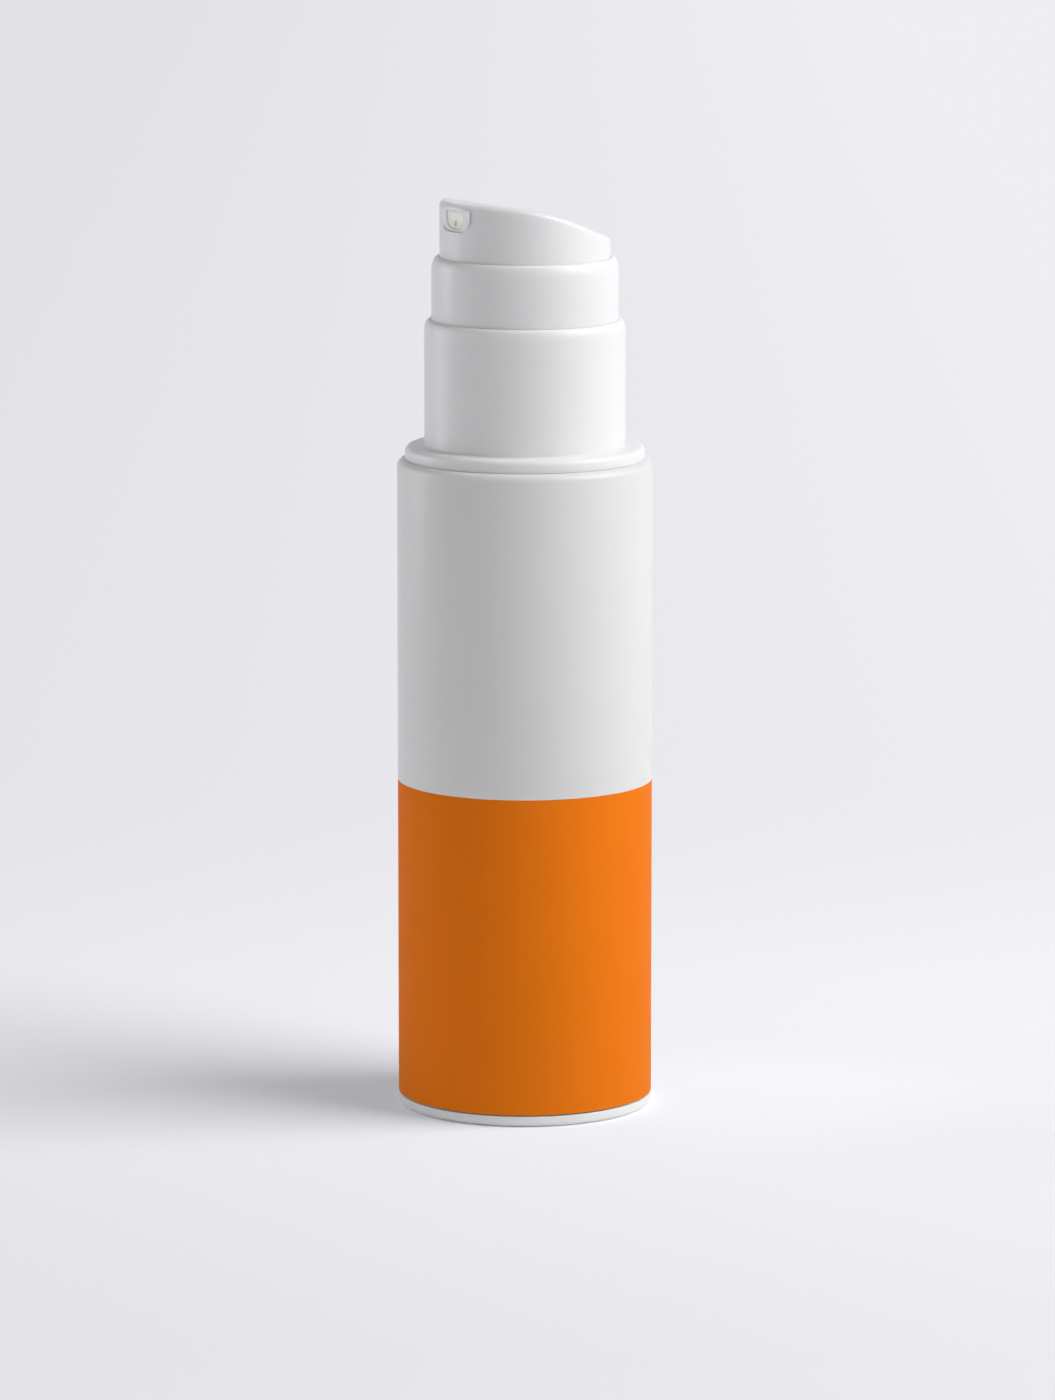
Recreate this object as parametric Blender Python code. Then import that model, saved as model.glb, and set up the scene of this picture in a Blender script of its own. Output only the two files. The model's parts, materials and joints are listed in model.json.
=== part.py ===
"""An airless pump bottle for sunscreen, in metres, standing on z = 0 with its spout towards -Y.

A follower piston rises in the body as the pump draws the product out. Pressing the head drives the
stem and its sliding seal down the pump chamber, and a spring brings them back.
"""

import math

import bmesh
import bpy
from mathutils import Matrix, Vector

MM = 0.001

# Clearances between neighbouring pieces
SEAT_GAP = 0.3 * MM  # faces that rest on each other
FIT_GAP = 0.3 * MM  # walls that are pressed or snapped together
SLIDE_GAP = 0.3 * MM  # walls that slide or turn in each other
TIP_GAP = 0.15 * MM  # flat sides of the nozzle's tip and frame
CUT_OVERRUN = 1.0 * MM  # how far a cutter runs past the face that it opens

# Roundness of the turned pieces
BODY_SEGMENTS = 48
PUMP_SEGMENTS = 32
SMALL_SEGMENTS = 16
FILLET_STEPS = 3
CROWN_RINGS = 6

# Body
BODY_RADIUS = 25.0 * MM
BODY_WALL = 1.9 * MM
BODY_HEIGHT = 126.05 * MM  # from its open foot to the shoulder
SHOULDER_WIDTH = 8.7 * MM  # from the body's side in to the neck
SHOULDER_FILLET = 1.5 * MM
NECK_WALL = 1.3 * MM
NECK_HEIGHT = 12.55 * MM
NECK_BEAD = 0.5 * MM  # how far the snap bead stands out
NECK_BEAD_DEPTH = 3.0 * MM  # from the neck's top down to the bead
NECK_BEAD_HEIGHT = 2.0 * MM
WRAP_HEIGHT = 62.5 * MM
WRAP_THICKNESS = 0.35 * MM

# Base cap
BASE_RIM_HEIGHT = 2.1 * MM  # the white band that shows under the wrap
BASE_FILLET = 1.6 * MM
BASE_RECESS = 0.9 * MM
BASE_STANDING_WIDTH = 3.2 * MM
BASE_FLOOR = 1.3 * MM
BASE_PLUG_HEIGHT = 6.9 * MM
BASE_PLUG_WALL = 1.3 * MM
VENT_RADIUS = 0.8 * MM

# Follower piston
FOLLOWER_HEIGHT = 12.5 * MM
FOLLOWER_WALL = 1.2 * MM
FOLLOWER_WAIST = 0.8 * MM  # how far its side is drawn in between the lips
FOLLOWER_LIP_HEIGHT = 1.8 * MM
FOLLOWER_LIP_SINK = 0.6 * MM  # how far its deck lies under the upper lip
FOLLOWER_WELL_RADIUS = 10.3 * MM
FOLLOWER_WELL_LIFT = 3.2 * MM  # from its foot up to the well's floor

# Pump: housing, gasket and chaplet
GASKET_THICKNESS = 0.7 * MM
FLANGE_THICKNESS = 1.7 * MM
PLUG_WALL = 1.2 * MM
PLUG_HEIGHT = 7.8 * MM
CHAMBER_RADIUS = 7.8 * MM
CHAMBER_WALL = 1.4 * MM
INTAKE_RADIUS = 3.2 * MM
INTAKE_WALL = 1.4 * MM
INTAKE_LENGTH = 3.5 * MM
VALVE_SEAT_BEVEL = 0.5 * MM
CHAPLET_OVERLAP = 2.7 * MM  # how far its flange reaches past the chamber's wall
CHAPLET_THICKNESS = 1.3 * MM
CHAPLET_STOP_DEPTH = 3.1 * MM  # from its flange down to the stem's stop
BOSS_WALL = 1.0 * MM
BOSS_HEIGHT = 1.6 * MM

# Inlet valve
VALVE_OVERLAP = 2.0 * MM
VALVE_THICKNESS = 1.0 * MM
VALVE_LIFT = 1.2 * MM
VALVE_FIN = 0.9 * MM
VALVE_BARB = 0.7 * MM
VALVE_BARB_HEIGHT = 1.2 * MM

# Stem, its plug and the sliding seal
STROKE = 5.0 * MM
PUMP_DEAD_HEIGHT = 0.5 * MM  # left under the plug at the end of the stroke
STEM_RADIUS = 4.0 * MM
STEM_WALL = 1.6 * MM
STEM_COLLAR_WIDTH = 1.0 * MM
STEM_COLLAR_HEIGHT = 1.2 * MM
PORT_RADIUS = 0.8 * MM
PORT_LIFT = 4.2 * MM  # from the stem's foot up to the ports
STEM_PLUG_HEIGHT = 4.4 * MM
STEM_PLUG_SPIGOT = 2.9 * MM
SEAL_SHIFT = 0.8 * MM
SEAL_HEIGHT = 6.5 * MM
SEAL_SLEEVE = 0.8 * MM
SEAL_LIP = 0.4 * MM
SEAL_WAIST = 0.5 * MM
SEAL_GROOVE = 1.6 * MM

# Return spring
SPRING_WIRE = 1.0 * MM  # wire diameter
SPRING_LENGTH = 13.8 * MM
SPRING_TURNS = 6
SPRING_POINTS_A_TURN = 10
SPRING_ROOM = 0.6 * MM  # between the chaplet's boss and the coil

# Neck closure, guide sleeve and outer collar
CLOSURE_WALL = 1.15 * MM
CLOSURE_WEB = 1.7 * MM
CLOSURE_SNAP_HEIGHT = 1.6 * MM
LAP_HEIGHT = 0.9 * MM
LAP_WALL = 0.6 * MM
SLEEVE_WALL = 1.31 * MM
SLEEVE_HEIGHT = 21.7 * MM  # guide length above the closure
SLEEVE_EDGE_WIDTH = 1.1 * MM
SLEEVE_EDGE_HEIGHT = 2.2 * MM
COLLAR_WALL = 1.1 * MM
COLLAR_HEIGHT = 24.7 * MM  # above the ledge
COLLAR_EDGE_WIDTH = 0.95 * MM
COLLAR_EDGE_HEIGHT = 1.5 * MM
LEDGE_WIDTH = 3.75 * MM
LEDGE_HEIGHT = 2.3 * MM
LEDGE_FILLET = 1.1 * MM
LEDGE_CORE_WIDTH = 1.5 * MM
LEDGE_CORE_DEPTH = 1.1 * MM

# Actuator
HEAD_RISE = 11.2 * MM  # from the sleeve's rim to the highest edge, over the spout
HEAD_DROP = 7.5 * MM  # from there down to the lowest edge, at the back
HEAD_SLOPE_POWER = 1.25  # above 1, the top stays level for longer over the spout
HEAD_WALL = 1.4 * MM
HEAD_TOP_WALL = 1.3 * MM
HEAD_FILLET = 1.1 * MM
HEAD_END_ROOM = 0.5 * MM  # left under the skirt at the end of the stroke

# Spout: window, frame, tip and channel
WINDOW_LIP = 0.9 * MM
WINDOW_HEIGHT = 4.8 * MM
WINDOW_WIDTH = 10.5 * MM
WINDOW_CORNER = 3.2 * MM
FRAME_RECESS = 0.55 * MM  # from the head's side in to the frame's face
FRAME_THICKNESS = 1.6 * MM
TIP_WIDTH = 6.0 * MM
TIP_HEIGHT = 3.3 * MM
TIP_CORNER = 1.9 * MM
TIP_RECESS = 0.1 * MM  # from the frame's face in to the tip's
TIP_BACK = 0.3 * MM  # how far the tip stands out behind the frame
ORIFICE_RADIUS = 0.8 * MM
ORIFICE_SINK = 0.6 * MM  # from the tip's middle down to the orifice
SOCKET_WALL = 1.6 * MM
SOCKET_DEPTH = 7.5 * MM
CORE_PLATE = 1.2 * MM
SPOUT_RADIUS = 1.9 * MM
SPOUT_BORE = 1.0 * MM
SPOUT_START = 4.0 * MM  # from the stem's axis to where the spout leaves the tower
TOWER_BORE_HEIGHT = 2.8 * MM

# Radii that follow, from the body in to the head and out to the ledge
body_bore = BODY_RADIUS - BODY_WALL
panel_radius = BODY_RADIUS - WRAP_THICKNESS - FIT_GAP
neck_radius = BODY_RADIUS - SHOULDER_WIDTH
neck_bore = neck_radius - NECK_WALL
bead_radius = neck_radius + NECK_BEAD
closure_bore = bead_radius + FIT_GAP
closure_radius = closure_bore + CLOSURE_WALL
sleeve_bore = closure_radius - SLEEVE_WALL
head_radius = sleeve_bore - SLIDE_GAP
head_bore = head_radius - HEAD_WALL
collar_bore = closure_radius + FIT_GAP
collar_radius = collar_bore + COLLAR_WALL
ledge_radius = collar_radius + LEDGE_WIDTH
plug_radius = neck_bore - FIT_GAP
chamber_outer = CHAMBER_RADIUS + CHAMBER_WALL
chaplet_radius = chamber_outer + CHAPLET_OVERLAP
guide_radius = STEM_RADIUS + SLIDE_GAP
boss_radius = guide_radius + BOSS_WALL
stem_bore = STEM_RADIUS - STEM_WALL
seal_radius = CHAMBER_RADIUS - SLIDE_GAP
spring_radius = boss_radius + SPRING_ROOM + SPRING_WIRE / 2

# Levels that follow, from the floor up to the sleeve's rim
body_foot = BASE_RIM_HEIGHT + SEAT_GAP
shoulder_level = body_foot + BODY_HEIGHT
neck_top = shoulder_level + NECK_HEIGHT
gasket_foot = neck_top + SEAT_GAP
flange_foot = gasket_foot + GASKET_THICKNESS + SEAT_GAP
flange_top = flange_foot + FLANGE_THICKNESS
closure_top = flange_top + SEAT_GAP + CLOSURE_WEB
sleeve_foot = closure_top + SEAT_GAP
sleeve_top = sleeve_foot + SLEEVE_HEIGHT
ledge_top = shoulder_level + SEAT_GAP + LEDGE_HEIGHT
follower_foot = BASE_RIM_HEIGHT + BASE_PLUG_HEIGHT + SEAT_GAP

# Levels inside the pump, from the flange down
chaplet_foot = flange_top + SEAT_GAP
stop_level = chaplet_foot - CHAPLET_STOP_DEPTH
stem_collar_foot = stop_level - SEAT_GAP - STEM_COLLAR_HEIGHT
seal_foot = stem_collar_foot - SEAL_SHIFT - SEAT_GAP - SEAL_HEIGHT
stem_plug_top = seal_foot - SEAT_GAP
stem_plug_foot = stem_plug_top - STEM_PLUG_HEIGHT
valve_seat = stem_plug_foot - STROKE - PUMP_DEAD_HEIGHT - VALVE_LIFT - VALVE_THICKNESS
chamber_floor = valve_seat - SEAT_GAP
chamber_foot = chamber_floor - CHAMBER_WALL
intake_foot = chamber_foot - INTAKE_LENGTH
valve_foot = intake_foot - VALVE_LIFT - SEAT_GAP - VALVE_BARB_HEIGHT

# Levels of the head at rest
spring_foot = chaplet_foot + CHAPLET_THICKNESS + SEAT_GAP
core_foot = spring_foot + SPRING_LENGTH + SEAT_GAP
stem_top = core_foot + SOCKET_DEPTH
head_foot = closure_top + HEAD_END_ROOM + STROKE
head_top = sleeve_top + HEAD_RISE
window_top = head_top - WINDOW_LIP
window_foot = window_top - WINDOW_HEIGHT
frame_face = head_radius - FRAME_RECESS
frame_back = frame_face - FRAME_THICKNESS
tip_level = window_foot + WINDOW_HEIGHT / 2
orifice_level = tip_level - ORIFICE_SINK
spout_end = frame_back - TIP_BACK - SEAT_GAP


def material(name, colour, roughness, metallic=0.0):
    """A Principled material with linear colour values."""
    made = bpy.data.materials.new(name)
    made.use_nodes = True
    shader = made.node_tree.nodes["Principled BSDF"]
    shader.inputs["Base Color"].default_value = (*colour, 1.0)
    shader.inputs["Roughness"].default_value = roughness
    shader.inputs["Metallic"].default_value = metallic
    made.diffuse_color = (*colour, 1.0)
    return made


def arc(centre, width, height, start, end):
    """Points of a round or oval arc in the (r, z) plane, by angle in degrees from outwards to up."""
    points = []
    for step in range(FILLET_STEPS + 1):
        angle = math.radians(start + (end - start) * step / FILLET_STEPS)
        points.append((centre[0] + width * math.cos(angle), centre[1] + height * math.sin(angle)))
    return points


def outer_edge(radius, level, width, height):
    """The rounded upper edge of a wall, from its side to its top."""
    return arc((radius - width, level - height), width, height, 0, 90)


def finish(name, bm, finish_material, parent=None, level=0.0):
    """Turns a bmesh into an object of one material, at a level on the axis."""
    bmesh.ops.remove_doubles(bm, verts=bm.verts, dist=MM / 1000)
    bmesh.ops.recalc_face_normals(bm, faces=bm.faces)
    mesh = bpy.data.meshes.new(name)
    bm.to_mesh(mesh)
    bm.free()
    mesh.shade_smooth()
    mesh.set_sharp_from_angle(angle=math.radians(35))
    mesh.materials.append(finish_material)
    made = bpy.data.objects.new(name, mesh)
    bpy.context.scene.collection.objects.link(made)
    made.location.z = level
    made.parent = parent
    return made


def turned(outline, segments):
    """A bmesh turned about Z from a closed outline of (r, z) points."""
    bm = bmesh.new()
    ring = [bm.verts.new((radius, 0, level)) for radius, level in outline]
    edges = [bm.edges.new((ring[i - 1], ring[i])) for i in range(len(ring))]
    bmesh.ops.spin(
        bm,
        geom=ring + edges,
        cent=(0, 0, 0),
        axis=(0, 0, 1),
        angle=math.tau,
        steps=segments,
        use_merge=True,
    )
    return bm


def slab(outline, front, back):
    """A bmesh with an outline of (x, z) points, from y = front to y = back."""
    bm = bmesh.new()
    face = bm.faces.new([bm.verts.new((x, front, z)) for x, z in outline])
    drawn = bmesh.ops.extrude_face_region(bm, geom=[face])["geom"]
    points = [item for item in drawn if isinstance(item, bmesh.types.BMVert)]
    bmesh.ops.translate(bm, verts=points, vec=(0, back - front, 0))
    return bm


def rod(radius, start, end, segments):
    """A bmesh cylinder between two points."""
    line = Vector(end) - Vector(start)
    place = Matrix.Translation((Vector(start) + Vector(end)) / 2)
    turn = line.to_track_quat("Z", "Y").to_matrix().to_4x4()
    bm = bmesh.new()
    bmesh.ops.create_cone(
        bm,
        cap_ends=True,
        segments=segments,
        radius1=radius,
        radius2=radius,
        depth=line.length,
        matrix=place @ turn,
    )
    return bm


def helper(name, bm, parent, level=0.0):
    """A hidden solid that a Boolean cuts away or adds."""
    made = finish(name, bm, hidden_finish, parent, level)
    made.hide_render = True
    made.display_type = "WIRE"
    return made


def combine(piece, other, operation):
    """Adds an exact Boolean of another object to a piece."""
    modifier = piece.modifiers.new(other.name, "BOOLEAN")
    modifier.operation = operation
    modifier.solver = "EXACT"
    modifier.object = other


def axis_empty(name, level, parent=None):
    """An empty on the bottle's axis, which carries the pieces of one moving body."""
    made = bpy.data.objects.new(name, None)
    made.empty_display_size = STEM_RADIUS
    bpy.context.scene.collection.objects.link(made)
    made.location.z = level
    made.parent = parent
    return made


def head_drop(y):
    """How far the head's top lies under its highest edge, at a distance y behind the axis."""
    share = min(max((head_radius + y) / (2 * head_radius), 0), 1) ** HEAD_SLOPE_POWER
    return HEAD_DROP * (3 * share**2 - 2 * share**3)


def bottle_body():
    panel_top = body_foot + WRAP_HEIGHT + SEAT_GAP
    bead_top = neck_top - NECK_BEAD_DEPTH
    bead_foot = bead_top - NECK_BEAD_HEIGHT
    outline = [
        (body_bore, body_foot),
        (panel_radius, body_foot),
        (panel_radius, panel_top),
        (BODY_RADIUS, panel_top),
        *outer_edge(BODY_RADIUS, shoulder_level, SHOULDER_FILLET, SHOULDER_FILLET),
        (neck_radius, shoulder_level),
        (neck_radius, bead_foot),
        (bead_radius, bead_foot + NECK_BEAD),
        (bead_radius, bead_top - NECK_BEAD),
        (neck_radius, bead_top),
        (neck_radius, neck_top),
        (neck_bore, neck_top),
        (neck_bore, shoulder_level - BODY_WALL),
        (body_bore, shoulder_level - BODY_WALL),
    ]
    return finish("bottle_body", turned(outline, BODY_SEGMENTS), white_body)


def orange_wrap():
    outline = [
        (BODY_RADIUS - WRAP_THICKNESS, 0),
        (BODY_RADIUS, 0),
        (BODY_RADIUS, WRAP_HEIGHT),
        (BODY_RADIUS - WRAP_THICKNESS, WRAP_HEIGHT),
    ]
    return finish("orange_wrap", turned(outline, BODY_SEGMENTS), orange_film, level=body_foot)


def base_cap():
    standing_outer = BODY_RADIUS - BASE_FILLET
    standing_inner = standing_outer - BASE_STANDING_WIDTH
    base_plug_radius = body_bore - FIT_GAP
    base_plug_bore = base_plug_radius - BASE_PLUG_WALL
    base_plug_top = BASE_RIM_HEIGHT + BASE_PLUG_HEIGHT
    floor_top = BASE_RECESS + BASE_FLOOR
    outline = [
        (VENT_RADIUS, BASE_RECESS),
        (standing_inner - BASE_RECESS, BASE_RECESS),
        (standing_inner, 0),
        *arc((standing_outer, BASE_FILLET), BASE_FILLET, BASE_FILLET, -90, 0),
        (BODY_RADIUS, BASE_RIM_HEIGHT),
        (base_plug_radius, BASE_RIM_HEIGHT),
        (base_plug_radius, base_plug_top),
        (base_plug_bore, base_plug_top),
        (base_plug_bore, floor_top),
        (VENT_RADIUS, floor_top),
    ]
    return finish("base_cap", turned(outline, BODY_SEGMENTS), white_gloss)


def follower_piston():
    lip = body_bore - SLIDE_GAP
    waist = lip - FOLLOWER_WAIST
    inner = waist - FOLLOWER_WALL
    deck = FOLLOWER_HEIGHT - FOLLOWER_LIP_SINK
    well_floor = FOLLOWER_WELL_LIFT + FOLLOWER_WALL
    outline = [
        (0, FOLLOWER_WELL_LIFT),
        (FOLLOWER_WELL_RADIUS + FOLLOWER_WALL, FOLLOWER_WELL_LIFT),
        (FOLLOWER_WELL_RADIUS + FOLLOWER_WALL, deck - FOLLOWER_WALL),
        (inner, deck - FOLLOWER_WALL),
        (inner, 0),
        (lip, 0),
        (waist, FOLLOWER_LIP_HEIGHT),
        (waist, FOLLOWER_HEIGHT - FOLLOWER_LIP_HEIGHT),
        (lip, FOLLOWER_HEIGHT),
        (lip - FOLLOWER_LIP_SINK, FOLLOWER_HEIGHT),
        (inner, deck),
        (FOLLOWER_WELL_RADIUS, deck),
        (FOLLOWER_WELL_RADIUS, well_floor),
        (0, well_floor),
    ]
    axis = axis_empty("follower_axis", follower_foot)
    return finish("follower_piston", turned(outline, PUMP_SEGMENTS), natural_plastic, axis)


def neck_gasket():
    inner = plug_radius + FIT_GAP
    outline = [
        (inner, 0),
        (neck_radius, 0),
        (neck_radius, GASKET_THICKNESS),
        (inner, GASKET_THICKNESS),
    ]
    return finish("neck_gasket", turned(outline, PUMP_SEGMENTS), soft_seal, level=gasket_foot)


def pump_housing():
    flange_radius = closure_bore - FIT_GAP
    intake_outer = INTAKE_RADIUS + INTAKE_WALL
    plug_foot = flange_foot - PLUG_HEIGHT
    outline = [
        (CHAMBER_RADIUS, flange_top),
        (CHAMBER_RADIUS, chamber_floor),
        (INTAKE_RADIUS + VALVE_SEAT_BEVEL, chamber_floor),
        (INTAKE_RADIUS, chamber_floor - VALVE_SEAT_BEVEL),
        (INTAKE_RADIUS, intake_foot),
        (intake_outer, intake_foot),
        (intake_outer, chamber_foot),
        (chamber_outer, chamber_foot),
        (chamber_outer, flange_foot),
        (plug_radius - PLUG_WALL, flange_foot),
        (plug_radius - PLUG_WALL, plug_foot),
        (plug_radius, plug_foot + PLUG_WALL),
        (plug_radius, flange_foot),
        (flange_radius, flange_foot),
        (flange_radius, flange_top),
    ]
    return finish("pump_housing", turned(outline, PUMP_SEGMENTS), natural_plastic)


def chaplet():
    skirt_radius = CHAMBER_RADIUS - FIT_GAP
    stop_bore = STEM_RADIUS + STEM_COLLAR_WIDTH + SLIDE_GAP
    plate_top = chaplet_foot + CHAPLET_THICKNESS
    outline = [
        (guide_radius, stop_level),
        (guide_radius, plate_top + BOSS_HEIGHT),
        (boss_radius, plate_top + BOSS_HEIGHT),
        (boss_radius, plate_top),
        (chaplet_radius, plate_top),
        (chaplet_radius, chaplet_foot),
        (skirt_radius, chaplet_foot),
        (skirt_radius, stem_collar_foot),
        (stop_bore, stem_collar_foot),
        (stop_bore, stop_level),
    ]
    return finish("chaplet", turned(outline, PUMP_SEGMENTS), natural_plastic)


def valve_legs(name, turn, parent):
    """A flat leg with a barb on each side at its foot, which holds the valve in the intake."""
    leg = INTAKE_RADIUS - SLIDE_GAP
    barb = INTAKE_RADIUS + VALVE_BARB
    foot = valve_foot - valve_seat
    barb_top = foot + VALVE_BARB_HEIGHT
    joint = VALVE_THICKNESS / 2
    outline = [
        (-leg, joint),
        (-leg, barb_top),
        (-barb, barb_top),
        (-leg, foot),
        (leg, foot),
        (barb, barb_top),
        (leg, barb_top),
        (leg, joint),
    ]
    bm = slab(outline, -VALVE_FIN / 2, VALVE_FIN / 2)
    bmesh.ops.rotate(bm, verts=bm.verts, matrix=Matrix.Rotation(turn, 3, "Z"))
    return helper(name, bm, parent)


def inlet_valve():
    disc = INTAKE_RADIUS + VALVE_OVERLAP
    outline = [(0, 0), (disc, 0), (disc, VALVE_THICKNESS), (0, VALVE_THICKNESS)]
    axis = axis_empty("valve_axis", valve_seat)
    made = finish("inlet_valve", turned(outline, SMALL_SEGMENTS), soft_seal, axis)
    combine(made, valve_legs("valve_leg_x", 0, axis), "UNION")
    combine(made, valve_legs("valve_leg_y", math.pi / 2, axis), "UNION")
    return made


def stem(axis):
    """The hollow stem, whose foot stands on its plug and whose ports open into its bore."""
    foot = seal_foot
    collar = STEM_RADIUS + STEM_COLLAR_WIDTH
    outline = [
        (stem_bore, foot),
        (STEM_RADIUS, foot),
        (STEM_RADIUS, stem_collar_foot),
        (collar, stem_collar_foot),
        (collar, stem_collar_foot + STEM_COLLAR_HEIGHT),
        (STEM_RADIUS, stem_collar_foot + STEM_COLLAR_HEIGHT),
        (STEM_RADIUS, stem_top),
        (stem_bore, stem_top),
    ]
    local = [(radius, level - axis.location.z) for radius, level in outline]
    made = finish("stem", turned(local, PUMP_SEGMENTS), natural_plastic, axis)
    reach = STEM_RADIUS + CUT_OVERRUN
    level = foot + PORT_LIFT - axis.location.z
    for name, end in (("port_x", (reach, 0, level)), ("port_y", (0, reach, level))):
        start = (-end[0], -end[1], level)
        cutter = helper(name, rod(PORT_RADIUS, start, end, SMALL_SEGMENTS), axis)
        combine(made, cutter, "DIFFERENCE")
    return made


def stem_plug(axis):
    """The plug in the stem's foot, with the shoulder that the sliding seal closes on."""
    seat_share = 0.5
    shoulder = guide_radius + seat_share * (seal_radius - guide_radius)
    spigot = stem_bore - FIT_GAP
    nose_share = 0.5
    waist = stem_plug_foot + nose_share * STEM_PLUG_HEIGHT
    outline = [
        (0, stem_plug_foot),
        (STEM_RADIUS, stem_plug_foot),
        (STEM_RADIUS, waist),
        (shoulder, waist),
        (shoulder, stem_plug_top),
        (spigot, stem_plug_top),
        (spigot, stem_plug_top + STEM_PLUG_SPIGOT),
        (0, stem_plug_top + STEM_PLUG_SPIGOT),
    ]
    local = [(radius, level - axis.location.z) for radius, level in outline]
    return finish("stem_plug", turned(local, PUMP_SEGMENTS), natural_plastic, axis)


def pump_piston(stem_axis):
    """The sliding seal: a sleeve round the stem with a lip above and a lip below."""
    sleeve = guide_radius + SEAL_SLEEVE
    waist = seal_radius - SEAL_WAIST
    groove = waist - SEAL_LIP
    half = [
        (guide_radius, 0),
        (sleeve, 0),
        (sleeve, SEAL_GROOVE),
        (groove, SEAL_GROOVE),
        (seal_radius - SEAL_LIP, 0),
        (seal_radius, 0),
        (waist, SEAL_GROOVE),
    ]
    outline = half + [(radius, SEAL_HEIGHT - level) for radius, level in reversed(half)]
    axis = axis_empty("seal_axis", seal_foot - stem_axis.location.z, stem_axis)
    return finish("pump_piston", turned(outline, PUMP_SEGMENTS), soft_seal, axis)


def spring_points():
    """The centre line of the return spring, from its foot up."""
    points = []
    count = SPRING_TURNS * SPRING_POINTS_A_TURN
    for i in range(count + 1):
        angle = math.tau * i / SPRING_POINTS_A_TURN
        level = SPRING_WIRE / 2 + (SPRING_LENGTH - SPRING_WIRE) * i / count
        points.append(Vector((spring_radius * math.cos(angle), spring_radius * math.sin(angle), level)))
    return points


def least_gap(points, diameter):
    """The least gap between parts of a tube that lie more than half a turn apart."""
    apart = SPRING_POINTS_A_TURN // 2 + 1
    pairs = ((a, b) for a in range(len(points)) for b in range(a + apart, len(points)))
    return min((points[a] - points[b]).length for a, b in pairs) - diameter


def return_spring():
    points = spring_points()
    print(f"return_spring: least gap to itself {least_gap(points, SPRING_WIRE) / MM:.2f} mm")
    curve = bpy.data.curves.new("return_spring", "CURVE")
    curve.dimensions = "3D"
    curve.bevel_depth = SPRING_WIRE / 2
    curve.bevel_resolution = 1
    curve.use_fill_caps = True
    spline = curve.splines.new("POLY")
    spline.points.add(len(points) - 1)
    for target, point in zip(spline.points, points):
        target.co = (*point, 1)
    spline.use_smooth = True
    curve.materials.append(spring_steel)
    made = bpy.data.objects.new("return_spring", curve)
    bpy.context.scene.collection.objects.link(made)
    made.location.z = spring_foot
    return made


def neck_closure():
    step_radius = closure_radius - LAP_WALL - FIT_GAP
    web_bore = chaplet_radius + FIT_GAP
    snap_top = neck_top - NECK_BEAD_DEPTH - NECK_BEAD_HEIGHT - SEAT_GAP
    snap_foot = snap_top - CLOSURE_SNAP_HEIGHT
    snap_radius = neck_radius + FIT_GAP
    foot = shoulder_level + SEAT_GAP
    web_foot = flange_top + SEAT_GAP
    outline = [
        (closure_bore, foot),
        (closure_radius, foot),
        (closure_radius, closure_top - LAP_HEIGHT),
        (step_radius, closure_top - LAP_HEIGHT),
        (step_radius, closure_top),
        (web_bore, closure_top),
        (web_bore, web_foot),
        (closure_bore, web_foot),
        (closure_bore, snap_top),
        (snap_radius, snap_top),
        (snap_radius, snap_foot + NECK_BEAD),
        (closure_bore, snap_foot),
    ]
    return finish("neck_closure", turned(outline, BODY_SEGMENTS), natural_plastic)


def guide_sleeve():
    lap_bore = closure_radius - LAP_WALL
    lap_foot = closure_top - LAP_HEIGHT + SEAT_GAP
    outline = [
        (sleeve_bore, sleeve_foot),
        (lap_bore, sleeve_foot),
        (lap_bore, lap_foot),
        (closure_radius, lap_foot),
        *outer_edge(closure_radius, sleeve_top, SLEEVE_EDGE_WIDTH, SLEEVE_EDGE_HEIGHT),
        (sleeve_bore, sleeve_top),
    ]
    return finish("guide_sleeve", turned(outline, BODY_SEGMENTS), white_gloss)


def outer_collar():
    foot = shoulder_level + SEAT_GAP
    collar_top = ledge_top + COLLAR_HEIGHT
    core_middle = (collar_radius + ledge_radius) / 2
    core_inner = core_middle - LEDGE_CORE_WIDTH / 2
    core_outer = core_middle + LEDGE_CORE_WIDTH / 2
    outline = [
        (collar_bore, foot),
        (core_inner, foot),
        (core_inner, foot + LEDGE_CORE_DEPTH),
        (core_outer, foot + LEDGE_CORE_DEPTH),
        (core_outer, foot),
        (ledge_radius, foot),
        *outer_edge(ledge_radius, ledge_top, LEDGE_FILLET, LEDGE_FILLET),
        (collar_radius, ledge_top),
        *outer_edge(collar_radius, collar_top, COLLAR_EDGE_WIDTH, COLLAR_EDGE_HEIGHT),
        (collar_bore, collar_top),
    ]
    return finish("outer_collar", turned(outline, BODY_SEGMENTS), white_gloss)


def window_outline(half_width, foot, top, corner):
    """A flat-topped opening with round lower corners, as (x, z) points."""
    right = arc((half_width - corner, foot + corner), corner, corner, 0, -90)
    left = [(-x, z) for x, z in reversed(right)]
    return [(-half_width, top), (half_width, top), *right, *left]


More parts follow.
